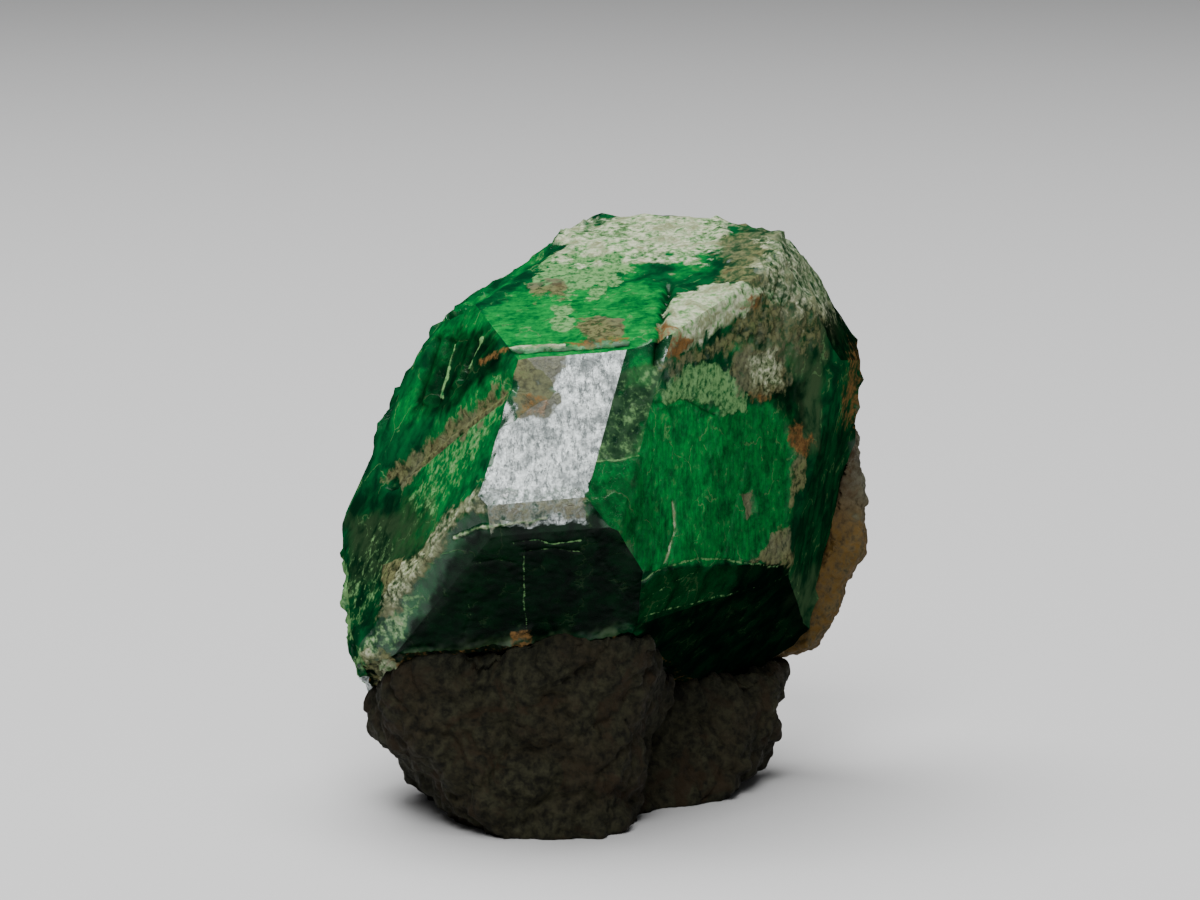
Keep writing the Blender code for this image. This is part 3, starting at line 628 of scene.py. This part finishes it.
class CrystalSkin:
    """The relief in metres at every point of the crystal, and the masks at every corner."""

    def __init__(self, form):
        self.form = form
        self.relief = np.zeros(len(form.points))
        self.masks = {name: np.zeros(form.corners.shape) for name in CHANNELS}
        self.grain = noise_field(form.points, CRUST_GRAIN, 1, 3)
        self.fine = noise_field(form.points, CRUST_GRAIN / 3, 2, 2)
        bend = np.stack([self.grain, self.fine, self.grain * self.fine], axis=1)
        warped = form.points + CRUMB_WARP * bend
        large = crumb_field(warped, LARGE_CRUMB, 3)
        small = crumb_field(warped, SMALL_CRUMB, 4)
        self.crumbs = LARGE_CRUMB_SHARE * large + (1 - LARGE_CRUMB_SHARE) * small

    def stain(self, mask, amount, where):
        """Adds an amount at the points to a mask, at the corners where it may lie."""
        painted = amount[self.form.corners] * where[:, None]
        self.masks[mask] = np.maximum(self.masks[mask], painted)

    def add_patch(self, mask, strength, faces, outline, soft, ragged, height):
        form = self.form
        member, corner_member = form.on_faces(faces)
        amount, raised = np.zeros((2, len(member)))
        there = member > LEAST_SHARE
        straight, bent = form.places[there], form.ragged[there] * ragged
        amount[there] = falloff(outline_distance(straight + bent, outline), soft)
        raised[there] = falloff(outline_distance(straight + 0.4 * bent, outline), 2 * soft)
        self.relief += member * raised * height * MM * (0.65 + 0.35 * self.crumbs + 0.3 * self.grain)
        if mask in ("crust", "cream"):
            self.relief += member * amount * CRUMB_HEIGHT * (self.crumbs - 0.5 + 0.5 * self.fine)
        self.stain(mask, amount * strength, corner_member)

    def add_line(self, faces, corners, width, height, mask, strength):
        form = self.form
        member, corner_member = form.on_faces(faces)
        amount, sunk = np.zeros((2, len(member)))
        there = member > LEAST_SHARE
        straight, bent = form.places[there], form.ragged[there] * min(width, 4) * 0.7
        painted = line_distance(straight + bent, corners) - width * 0.4
        carved = line_distance(straight + 0.3 * bent, corners) - width * 0.3
        amount[there] = falloff(painted, max(width * 0.5, 1.6))
        sunk[there] = falloff(carved, max(width * 0.8, 3))
        self.relief += member * sunk * height * MM
        self.stain(mask, amount * strength, corner_member)

    def dress_back(self):
        """Crust, film and fresh green in patches on the sides that the photo doesn't show."""
        form = self.form
        hidden = ~np.isin(form.face_of, list(form.names.values()))
        behind = form.outward @ TOWARDS < BEHIND
        crust = falloff(WILD_LEVEL - noise_field(form.points, WILD_SIZE, 21, 4), 0.12) * behind
        self.relief += crust * WILD_HEIGHT * (0.25 + self.crumbs + 0.4 * self.grain)
        mottle = noise_field(form.points, MOTTLE_SIZE, 22, 3)
        self.stain("crust", crust, hidden)
        self.stain("moss", falloff(0.05 - mottle, 0.3) * behind * 0.8, hidden)
        self.stain("vivid", falloff(mottle, 0.3) * behind * 0.5, hidden)

    def dress_underside(self):
        """The stained face that the matrix grew on, painted dark all over as shade, since it lies under the
        crystal.
        """
        underside = self.form.names["underside"]
        under = self.form.face_of == underside
        self.masks["rust"][under] = np.maximum(self.masks["rust"][under], UNDERSIDE_RUST)
        self.masks["dark"][under] = 1
        self.relief += self.form.weights[:, underside] * UNDERSIDE_HEIGHT * (self.grain + self.fine)

    def wear(self):
        """Slightly wavy faces and chipped edges."""
        points = self.form.points
        self.relief += WAVE_HEIGHT * noise_field(points, WAVE_SIZE, 31, 2)
        self.relief += SKIN_HEIGHT * self.fine
        chip = noise_field(points, CHIP_SIZE, 41, 3)
        near_edge = np.exp(-((self.form.edge_distance / CHIP_WIDTH) ** 2))
        self.relief -= near_edge * CHIP_HEIGHT * np.clip(0.4 + chip, 0, 1.4)


class Nodes:
    """Short ways to add and join shader nodes in one material."""

    def __init__(self, name):
        self.material = bpy.data.materials.new(name)
        self.material.use_nodes = True
        self.tree = self.material.node_tree
        self.shader = self.tree.nodes["Principled BSDF"]

    def put(self, value, socket):
        """Links a socket to another one, or gives it a constant."""
        if isinstance(value, bpy.types.NodeSocket):
            self.tree.links.new(value, socket)
        elif hasattr(socket.default_value, "__len__") and len(socket.default_value) == 4 and len(value) == 3:
            socket.default_value = (*value, 1)
        else:
            socket.default_value = value

    def set(self, **values):
        """Sets inputs of the surface shader, named with underscores for spaces."""
        for name, value in values.items():
            self.put(value, self.shader.inputs[name.replace("_", " ")])

    def add(self, kind, inputs=(), **fields):
        node = self.tree.nodes.new(kind)
        for name, value in fields.items():
            setattr(node, name, value)
        for key, value in dict(inputs).items():
            self.put(value, node.inputs[key])
        return node

    def place(self, turn=(0, 0, 0), stretch=(1, 1, 1)):
        """The object's own coordinates in millimetres."""
        source = self.add("ShaderNodeTexCoord").outputs["Object"]
        scale = [s / MM for s in stretch]
        mapping = self.add("ShaderNodeMapping", {"Vector": source, "Rotation": turn, "Scale": scale})
        return mapping.outputs["Vector"]

    def noise(self, vector, scale, detail=4.0, roughness=0.55, distortion=0.0):
        inputs = {"Vector": vector, "Scale": scale, "Detail": detail}
        inputs |= {"Roughness": roughness, "Distortion": distortion}
        return self.add("ShaderNodeTexNoise", inputs).outputs["Fac"]

    def cells(self, vector, scale, feature="F1"):
        inputs = {"Vector": vector, "Scale": scale}
        return self.add("ShaderNodeTexVoronoi", inputs, feature=feature).outputs["Distance"]

    def ramp(self, value, low, high, out_low=0.0, out_high=1.0):
        """Turns a range of one value into a smooth range of another."""
        inputs = {"Value": value, "From Min": low, "From Max": high, "To Min": out_low, "To Max": out_high}
        return self.add("ShaderNodeMapRange", inputs, interpolation_type="SMOOTHSTEP").outputs["Result"]

    def math(self, operation, *values):
        return self.add("ShaderNodeMath", dict(enumerate(values)), operation=operation).outputs[0]

    def times(self, first, second):
        return self.math("MULTIPLY", first, second)

    def mix(self, share, first, second):
        node = self.add("ShaderNodeMix", data_type="RGBA")
        for index, value in ((0, share), (6, first), (7, second)):
            self.put(value, node.inputs[index])
        return node.outputs[2]

    def blend_value(self, share, first, second):
        return self.add("ShaderNodeMix", {0: share, 2: first, 3: second}, data_type="FLOAT").outputs[0]

    def bump(self, height, strength, distance, normal=None):
        node = self.add("ShaderNodeBump", {"Height": height, "Strength": strength, "Distance": distance})
        if normal:
            self.put(normal, node.inputs["Normal"])
        return node.outputs["Normal"]

    def masks(self, name):
        """The four masks of an attribute."""
        source = self.add("ShaderNodeAttribute", attribute_name=name)
        split = self.add("ShaderNodeSeparateColor", {"Color": source.outputs["Color"]})
        return [*split.outputs, source.outputs["Alpha"]]


class Garnet(Nodes):
    """The crystal's material: the greens with their painted shade, then the silvery face with its painted
    glints and the crusts over them.
    """

    def __init__(self, look):
        super().__init__("uvarovite")
        self.look = look
        at = self.at = self.place()
        self.broad = self.noise(at, 0.55, 3)
        self.cloud = self.noise(at, 1.6, 5, 0.6, 0.4)
        self.spots = self.noise(at, 2.9, 5, 0.7, 0.3)
        self.grit = self.noise(at, 6.0, 6, 0.65)
        self.dust = self.noise(at, 22.0, 3, 0.6)
        self.streak = self.noise(self.place((0.2, 0.35, 0.5), (1, 6, 1)), 2.2, 6, 0.7)
        self.speckle = self.math("ADD", self.times(self.grit, 0.6), self.times(self.cloud, 0.4))
        self.cracks = self.crack_veil()
        crust, cream, rust, silver = self.masks("masks_a")
        self.vivid, self.dark, self.moss, self.pale = self.masks("masks_b")
        self.silver_share = self.edged(silver, 0.9, 0.10)
        self.crust_share = self.edged(crust, 2.8, 0.3)
        self.cream_share = self.edged(cream, 2.6, 0.34)
        self.rust_share = self.edged(rust, 2.6, 0.25)
        crusted = self.math("MAXIMUM", self.crust_share, self.cream_share)
        self.crusted = self.math("MAXIMUM", crusted, self.rust_share)
        self.glint_grains = self.silver_pits()
        self.set(Base_Color=self.colour(), Normal=self.relief(), IOR=look.refraction)
        self.set(Roughness=self.roughness(), Specular_IOR_Level=self.shine())

    def edged(self, mask, spread, width):
        """A mask broken up by noise of two sizes, so that what lies under it shows through."""
        worked = self.math("MULTIPLY_ADD", self.math("SUBTRACT", self.speckle, 0.5), spread, mask)
        return self.times(self.ramp(worked, 0.5 - width, 0.5 + width), self.ramp(mask, 0.02, 0.2))

    def crack_veil(self):
        """Fine bent cracks, in some places only."""
        warp = self.add("ShaderNodeTexNoise", {"Vector": self.at, "Scale": 1.1, "Detail": 5.0})
        inputs = {0: warp.outputs["Color"], 1: (1.6, 1.6, 1.6)}
        bend = self.add("ShaderNodeVectorMath", inputs, operation="MULTIPLY").outputs[0]
        bent = self.add("ShaderNodeVectorMath", {0: bend, 1: self.at}, operation="ADD").outputs[0]
        cells = self.cells(bent, 0.55, "DISTANCE_TO_EDGE")
        return self.times(self.ramp(cells, 0.0, 0.022, 1.0, 0.0), self.ramp(self.cloud, 0.48, 0.58))

    def silver_pits(self):
        """Painted glints: 1 on the grains of the frosted face that are painted near-white as glinting, 0 in
        the darker specks between them.
        """
        sparkle = self.noise(self.place((0.5, 0.9, 0.6), (2.4, 1, 1)), 2.8, 10, 0.9)
        glint_grains = self.times(self.ramp(sparkle, 0.43, 0.54), self.ramp(self.speckle, 0.40, 0.56, 0.30, 1.0))
        return self.times(glint_grains, self.ramp(self.cloud, 0.36, 0.56, 0.40, 1.0))

    def greens(self):
        """Fresh, ordinary and deep green, moss film, cracks, painted shade and frosted places."""
        look = self.look
        green = self.mix(self.ramp(self.cloud, 0.35, 0.68), look.deep_green, look.mid_green)
        fresh = self.times(self.vivid, self.ramp(self.streak, 0.34, 0.60, 0.50, 1.0))
        fresh = self.times(fresh, self.ramp(self.grit, 0.32, 0.60, 0.50, 1.0))
        fresh = self.times(fresh, self.ramp(self.cloud, 0.30, 0.55, 0.55, 1.0))
        fresh = self.times(fresh, self.ramp(self.spots, 0.34, 0.56, 0.50, 1.0))
        green = self.mix(fresh, green, look.vivid_green)
        flecks = self.times(fresh, self.ramp(self.spots, 0.56, 0.70, 0.0, 0.42))
        green = self.mix(flecks, green, look.pale_green)
        green = self.mix(self.times(self.moss, self.ramp(self.cloud, 0.3, 0.6)), green, look.moss)
        green = self.mix(self.times(self.cracks, 0.45), green, look.pale_green)
        # Painted shade: the dark mask turns the green almost black where the crystal lies in shade.
        darkness = self.times(self.dark, self.ramp(self.cloud, 0.2, 0.7, 1.0, 0.86))
        green = self.mix(darkness, green, look.black_green)
        frost = self.mix(self.ramp(self.grit, 0.34, 0.60), look.mid_green, look.pale_green)
        return self.mix(self.edged(self.pale, 1.8, 0.16), green, frost)

    def crust_tone(self):
        look = self.look
        tone = self.mix(self.ramp(self.grit, 0.38, 0.58), look.crust_dark, look.crust)
        tone = self.mix(self.ramp(self.spots, 0.52, 0.66, 0.0, 0.7), tone, look.olive)
        tone = self.mix(self.ramp(self.cloud, 0.54, 0.72, 0.0, 0.4), tone, look.rust_dark)
        return self.mix(self.ramp(self.broad, 0.45, 0.65, 0.0, 0.6), tone, look.grey_crust)

    def cream_tone(self):
        look = self.look
        tone = self.mix(self.ramp(self.speckle, 0.40, 0.58), look.pale_green, look.cream)
        tone = self.mix(self.ramp(self.streak, 0.52, 0.66, 0.0, 0.6), tone, look.crust)
        olive = self.times(self.ramp(self.cloud, 0.50, 0.62), self.ramp(self.grit, 0.34, 0.56, 0.25, 0.8))
        return self.mix(olive, tone, look.olive)

    def colour(self):
        look = self.look
        # Painted glints: the grains of the glint pattern get the near-white silvery tone.
        silver = self.mix(self.glint_grains, look.silver_dark, look.silver)
        colour = self.mix(self.silver_share, self.greens(), silver)
        colour = self.mix(self.crust_share, colour, self.crust_tone())
        colour = self.mix(self.cream_share, colour, self.cream_tone())
        rust = self.mix(self.ramp(self.grit, 0.36, 0.64), look.rust_dark, look.rust)
        return self.mix(self.rust_share, colour, rust)

    def dullness(self):
        return self.math("MAXIMUM", self.crusted, self.times(self.moss, 0.5))

    def roughness(self):
        gloss = self.ramp(self.cloud, 0.3, 0.7, self.look.gloss_low, self.look.gloss_high)
        rough = self.blend_value(self.silver_share, gloss, self.ramp(self.glint_grains, 0.2, 0.9, 0.6, 0.24))
        return self.blend_value(self.dullness(), rough, 0.82)

    def shine(self):
        """Gloss that fades where a face is seen at a slant, so that the pale floor doesn't veil it."""
        facing = self.add("ShaderNodeLayerWeight", {"Blend": 0.5}).outputs["Facing"]
        shine = self.ramp(facing, 0.05, 0.46, 0.26, 0.0)
        shine = self.blend_value(self.dullness(), shine, self.ramp(facing, 0.1, 0.4, 0.04, 0.0))
        shine = self.blend_value(self.dark, shine, self.ramp(facing, 0.1, 0.4, 0.05, 0.0))
        return self.blend_value(self.silver_share, shine, 0.6)

    def relief(self):
        """Bumps too small for the mesh: glints, crumbs, growth steps, cracks and skin."""
        glints = self.math("ADD", self.ramp(self.grit, 0.35, 0.65), self.times(self.dust, 0.5))
        silver = self.bump(glints, self.times(self.silver_share, 0.9), 0.03 * MM)
        crumb = self.math("ADD", self.grit, self.times(self.cells(self.at, 7.0), 0.6))
        crust = self.bump(crumb, self.times(self.crusted, 0.6), 0.05 * MM, silver)
        steps = self.bump(self.math("ROUND", self.times(self.cloud, 9.0)), 0.5, 0.010 * MM, crust)
        split = self.bump(self.cracks, 0.6, -0.03 * MM, steps)
        skin = self.math("ADD", self.streak, self.times(self.dust, 0.3))
        return self.bump(skin, 0.4, 0.014 * MM, split)


def rock_material(name, tones, roughness, grain):
    """Tones of rough stone swirled together: two mixed, a swirl, spots, the rim and the stained part."""
    nodes = Nodes(name)
    at = nodes.place()
    swirl = nodes.noise(at, 0.8, 5, 0.6, 1.2)
    grit = nodes.noise(at, grain, 6, 0.68)
    spots = nodes.noise(at, 2.4, 4, 0.6, 0.5)
    rim, stained = nodes.masks("masks_a")[:2]
    colour = nodes.mix(nodes.ramp(grit, 0.32, 0.68), tones[0], tones[1])
    colour = nodes.mix(nodes.ramp(swirl, 0.52, 0.66), colour, tones[2])
    colour = nodes.mix(nodes.ramp(spots, 0.52, 0.80, 0.0, 0.7), colour, tones[3])
    colour = nodes.mix(nodes.times(rim, 0.85), colour, tones[4])
    colour = nodes.mix(nodes.times(stained, nodes.ramp(grit, 0.3, 0.6)), colour, tones[5])
    height = nodes.math("ADD", grit, nodes.times(nodes.cells(at, 3.0), 0.5))
    nodes.set(Base_Color=colour, Specular_IOR_Level=0.12, Normal=nodes.bump(height, 0.8, 0.12 * MM))
    nodes.set(Roughness=nodes.ramp(grit, 0.3, 0.7, roughness, roughness - 0.25))
    return nodes.material


def stage_material(tone):
    nodes = Nodes("pale floor")
    nodes.set(Base_Color=tone, Roughness=0.9, Specular_IOR_Level=0.1)
    return nodes.material


def number(name, description, default, unit="NONE"):
    """A setting that is one number."""
    return FloatProperty(name=name, description=description, default=default, unit=unit, precision=6)


def tint(name, description, default):
    """A colour setting."""
    return FloatVectorProperty(name=name, description=description, subtype="COLOR", default=default)


class UvaroviteSettings(bpy.types.PropertyGroup):
    """Sizes, colours and light of the specimen"""

    mesh_fine: number("Fine mesh", "Longest mesh edge on the display side", 0.13 * MM, "LENGTH")
    mesh_coarse: number("Coarse mesh", "Longest mesh edge elsewhere", 0.34 * MM, "LENGTH")
    seat_overlap: number("Seat overlap", "How far matrix and seam reach past their gap", 0.42 * MM, "LENGTH")
    refraction: number("Refraction", "Refractive index of the garnet", 1.86)
    gloss_low: number("Fresh roughness", "Roughness of the freshest faces", 0.10)
    gloss_high: number("Worn roughness", "Roughness of slightly worn faces", 0.34)
    key_power: number("Key light", "Power of the front softbox", 0.95, "POWER")
    top_power: number("Top light", "Power of the large overhead softbox", 2.1, "POWER")
    vivid_green: tint("Vivid green", "Fresh garnet", (0.002, 0.200, 0.034))
    mid_green: tint("Mid green", "Ordinary garnet", (0.002, 0.070, 0.018))
    deep_green: tint("Deep green", "Thick garnet", (0.0005, 0.022, 0.008))
    # Black green paints shade on the crystal: it goes on faces and grooves that lie in shade, so that light
    # bounced from the floor can't brighten them.
    black_green: tint("Black green", "Faces that swallow light", (0.0003, 0.0022, 0.0012))
    pale_green: tint("Pale green", "Frosted garnet", (0.120, 0.240, 0.090))
    olive: tint("Olive", "Olive parts of the crusts", (0.095, 0.120, 0.045))
    moss: tint("Moss", "Dull grey-green film", (0.040, 0.062, 0.030))
    crust: tint("Crust", "Tan crust", (0.112, 0.116, 0.052))
    crust_dark: tint("Dark crust", "Hollows of the crust", (0.030, 0.030, 0.015))
    grey_crust: tint("Grey crust", "Grey parts of the crust", (0.088, 0.098, 0.062))
    cream: tint("Cream", "Cream crust", (0.40, 0.42, 0.30))
    rust: tint("Rust", "Orange stain", (0.150, 0.082, 0.028))
    rust_dark: tint("Dark rust", "Brown stain", (0.060, 0.032, 0.013))
    # The near-white silvery tone is partly the frosted coat of that face and partly a painted highlight, the
    # front softbox's glare painted into the colour.
    silver: tint("Silver", "Frosted glinting face", (0.82, 0.90, 0.89))
    silver_dark: tint("Dark silver", "Specks in the frosted face", (0.050, 0.075, 0.070))
    # The matrix brown is darker than the stone: partly its own dark brown, partly painted shade against the
    # light bounced from the floor.
    shaded_matrix_brown: tint("Matrix", "Dark brown matrix", (0.0042, 0.0042, 0.0026))
    matrix_light: tint("Matrix high", "Lighter parts of the matrix", (0.024, 0.0235, 0.0115))
    matrix_red: tint("Matrix red", "Reddish swirls of the matrix", (0.018, 0.0125, 0.0060))
    seam_cream: tint("Seam cream", "Pale upper part of the seam", (0.120, 0.125, 0.088))
    seam_ochre: tint("Seam ochre", "Stained lower part of the seam", (0.095, 0.055, 0.012))


class UVAROVITE_OT_crystal(bpy.types.Operator):
    """Cut, carve and paint the garnet crystal"""

    bl_idname = "uvarovite.crystal"
    bl_label = "Garnet Crystal"

    def execute(self, context):
        look = settings()
        flats = flats_of(packed_frame()["nodes"]["garnet_crystal"])
        bm = cut_crystal(flats)
        refine(bm, crystal_edge_length(look), look.mesh_fine * LINE_SHARE)
        bm.verts.index_update()
        form = CrystalForm(bm, flats)
        skin = CrystalSkin(form)
        for patch in PATCHES:
            skin.add_patch(*patch)
        for line in LINES:
            skin.add_line(*line)
        skin.dress_back()
        skin.dress_underside()
        skin.wear()
        move_points(bm, form.points + form.outward * skin.relief[:, None])
        crystal = finish_mesh(bm, "garnet", Garnet(look).material, CRYSTAL_SHARP)
        for name, group in (("masks_a", CHANNELS[:4]), ("masks_b", CHANNELS[4:])):
            paint(crystal.data, name, np.stack([skin.masks[c] for c in group], axis=-1))
        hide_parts("garnet_crystal")
        return {"FINISHED"}


def refined_rock(node, limit):
    """A finely meshed copy of a rough node with its facets smoothed away."""
    bm = merged_copy(node)
    refine(bm, lambda middles: np.full(len(middles), limit), limit)
    axes = {"use_axis_x": True, "use_axis_y": True, "use_axis_z": True}
    for _ in range(SMOOTHINGS):
        bmesh.ops.smooth_vert(bm, verts=bm.verts, factor=0.5, **axes)
    bm.verts.index_update()
    bm.normal_update()
    return bm


def roughened(bm, layers):
    """Points moved along their normals by several sizes of noise, on average not at all."""
    points = mesh_points(bm)
    normals = np.array([v.normal[:] for v in bm.verts])
    total = np.zeros(len(points))
    for number, (size, amount, crumbly) in enumerate(layers):
        seed = 60 + number
        field = crumb_field(points, size, seed) if crumbly else noise_field(points, size, seed, 2)
        total += amount * MM * field
    return points + normals * (total - total.mean())[:, None]


def seated(points, look):
    """Points next to the crystal reach into it, as they are grown onto it. Also how far each lay outside."""
    flats = flats_of(packed_frame()["nodes"]["garnet_crystal"])
    depth = np.max(depths(points, flats), axis=1)
    near = np.clip(1 - (depth - SEAT_NEAR) / SEAT_FADE, 0, 1)
    inward = CENTRE - points
    inward /= np.linalg.norm(inward, axis=1, keepdims=True)
    return points + inward * (near * look.seat_overlap)[:, None], depth


def finish_rock(bm, name, material, rim, stained):
    """The finished rock with its rim and stain masks, at the points of the mesh."""
    corners = mesh_corners(bm)
    rock = finish_mesh(bm, name, material, ROCK_SHARP)
    masks = np.stack([rim, stained, np.zeros(len(rim)), np.zeros(len(rim))], axis=-1)
    paint(rock.data, "masks_a", masks[corners])
    return rock


class UVAROVITE_OT_matrix(bpy.types.Operator):
    """Roughen and colour the brown matrix"""

    bl_idname = "uvarovite.matrix"
    bl_label = "Brown Matrix"

    def execute(self, context):
        look = settings()
        bm = refined_rock(packed_frame()["nodes"]["matrix_base"], look.mesh_fine * MATRIX_SHARE)
        on_floor = mesh_points(bm)[:, 2] < FLOOR_TOUCH
        moved, depth = seated(roughened(bm, MATRIX_RELIEF), look)
        moved[:, 2] = np.where(on_floor, 0.0, np.maximum(moved[:, 2], 0.0))
        move_points(bm, moved)
        rim = falloff((depth - MATRIX_RIM) / MM, 0.5)
        stained = np.clip(noise_field(moved, 1.4, 71, 3), 0, 1)
        # The first brown is partly the stone's own brown and partly painted shade.
        tones = (look.shaded_matrix_brown, look.matrix_light, look.matrix_red)
        tones += (look.shaded_matrix_brown, look.black_green, look.matrix_red)
        material = rock_material("brown matrix", tones, 0.9, 4.0)
        rock = finish_rock(bm, "matrix", material, rim * 0.5, stained)
        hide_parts("matrix_base")
        return {"FINISHED"}


class UVAROVITE_OT_seam(bpy.types.Operator):
    """Roughen and colour the stained seam"""

    bl_idname = "uvarovite.seam"
    bl_label = "Stained Seam"

    def execute(self, context):
        look = settings()
        bm = refined_rock(packed_frame()["nodes"]["stained_seam"], look.mesh_fine * SEAM_SHARE)
        moved, depth = seated(roughened(bm, SEAM_RELIEF), look)
        move_points(bm, moved)
        rim = falloff((depth - SEAM_RIM) / MM, 0.5)
        stained = falloff(STAIN_LINE - photo_place(moved)[:, 1], STAIN_SOFT)
        tones = (look.crust_dark, look.seam_cream, look.grey_crust)
        tones += (look.rust_dark, look.rust_dark, look.seam_ochre)
        material = rock_material("stained seam", tones, 0.85, 5.0)
        rock = finish_rock(bm, "seam", material, rim, stained)
        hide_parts("stained_seam")
        return {"FINISHED"}


def area_light(name, direction, size, power):
    """A square white softbox that faces the crystal from a direction."""
    data = bpy.data.lights.new(name, "AREA")
    data.energy = power
    data.size = size
    light = bpy.data.objects.new(name, data)
    light.location = CRYSTAL_CENTRE + Vector(direction).normalized() * LIGHT_DISTANCE
    light.rotation_euler = (light.location - CRYSTAL_CENTRE).to_track_quat("Z", "Y").to_euler()
    bpy.context.scene.collection.objects.link(light)


def add_floor():
    bm = bmesh.new()
    bmesh.ops.create_circle(bm, cap_ends=True, radius=FLOOR_RADIUS, segments=FLOOR_SIDES)
    mesh = bpy.data.meshes.new("floor")
    bm.to_mesh(mesh)
    bm.free()
    floor = bpy.data.objects.new("floor", mesh)
    mesh.materials.append(stage_material(FLOOR_TONE))
    bpy.context.scene.collection.objects.link(floor)


def add_world():
    world = bpy.data.worlds.new("studio")
    world.use_nodes = True
    background = world.node_tree.nodes["Background"]
    background.inputs["Color"].default_value = WORLD_TONE
    background.inputs["Strength"].default_value = WORLD_STRENGTH
    bpy.context.scene.world = world


def add_camera():
    """The camera of the photo: it looks at the middle of its frame, which is as wide as the photo."""
    right = (PHOTO_AIM[0] - PHOTO_MIDDLE[0]) * PHOTO_PIXEL
    up = (PHOTO_MIDDLE[1] - PHOTO_AIM[1]) * PHOTO_PIXEL
    target = CRYSTAL_CENTRE + VIEW_RIGHT * right + VIEW_UP * up
    data = bpy.data.cameras.new("camera")
    data.lens = CAMERA_LENS
    data.clip_start = CAMERA_NEAR
    camera = bpy.data.objects.new("camera", data)
    camera.location = target + VIEW_TOWARDS * (PHOTO_WIDTH * PHOTO_PIXEL * data.lens / data.sensor_width)
    camera.rotation_euler = VIEW_TOWARDS.to_track_quat("Z", "Y").to_euler()
    bpy.context.scene.collection.objects.link(camera)
    bpy.context.scene.camera = camera


class UVAROVITE_OT_stage(bpy.types.Operator):
    """Add the pale floor, the softboxes and the camera"""

    bl_idname = "uvarovite.stage"
    bl_label = "Stage"

    def execute(self, context):
        look = settings()
        add_floor()
        area_light("front softbox", KEY_DIRECTION, KEY_SIZE, look.key_power)
        area_light("top softbox", TOP_DIRECTION, TOP_SIZE, look.top_power)
        add_world()
        add_camera()
        return {"FINISHED"}


class UVAROVITE_PT_panel(bpy.types.Panel):
    """Buttons and values of the specimen"""

    bl_idname = "UVAROVITE_PT_panel"
    bl_label = "Uvarovite Specimen"
    bl_space_type = "VIEW_3D"
    bl_region_type = "UI"
    bl_category = "Specimen"

    def draw(self, context):
        column = self.layout.column()
        for name in ("crystal", "matrix", "seam", "stage"):
            column.operator("uvarovite." + name)
        for name in UvaroviteSettings.__annotations__:
            column.prop(context.scene.uvarovite, name)


CLASSES = (
    UvaroviteSettings,
    UVAROVITE_OT_crystal,
    UVAROVITE_OT_matrix,
    UVAROVITE_OT_seam,
    UVAROVITE_OT_stage,
    UVAROVITE_PT_panel,
)
LOADED = {}


def packed_frame():
    """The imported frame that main() loaded."""
    return LOADED["frame"]


def register():
    for cls in CLASSES:
        bpy.utils.register_class(cls)
    bpy.types.Scene.uvarovite = PointerProperty(type=UvaroviteSettings)


def unregister():
    del bpy.types.Scene.uvarovite
    for cls in reversed(CLASSES):
        bpy.utils.unregister_class(cls)


def main():
    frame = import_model()
    LOADED["frame"] = frame
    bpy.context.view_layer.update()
    register()
    bpy.ops.uvarovite.crystal()
    bpy.ops.uvarovite.matrix()
    bpy.ops.uvarovite.seam()
    bpy.ops.uvarovite.stage()


if __name__ == "__main__":
    main()
